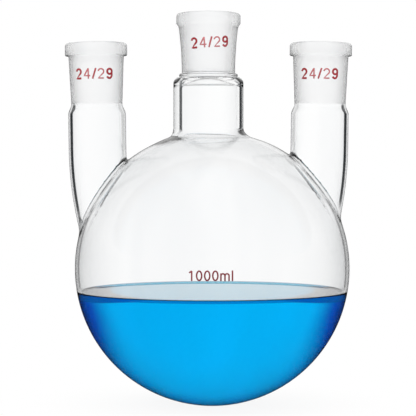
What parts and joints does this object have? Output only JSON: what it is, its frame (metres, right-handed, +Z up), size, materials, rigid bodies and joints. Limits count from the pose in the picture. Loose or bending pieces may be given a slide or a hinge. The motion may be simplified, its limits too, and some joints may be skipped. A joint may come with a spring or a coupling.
{
  "type": "three neck round bottom flask",
  "caption": "Round bottom laboratory flask in clear glass with three upright necks ending in conical ground sockets, part filled with a blue liquid.",
  "frame": {"origin": "under the centre neck's axis, on the level of the bulb's lowest point, at the bottom centre of the box", "axes": "+Z up along the centre neck; X runs through the three necks; Y runs front to back"},
  "size_m": [0.1368, 0.131, 0.1871],
  "materials": {
    "glass": "clear polished borosilicate, ground to a white frost inside the three sockets, with red enamel size marks",
    "blue_liquid": "clear blue liquid with a smooth level surface"
  },
  "bodies": {
    "root": {"flask": "glass", "liquid": "blue_liquid"}
  },
  "joints": []
}
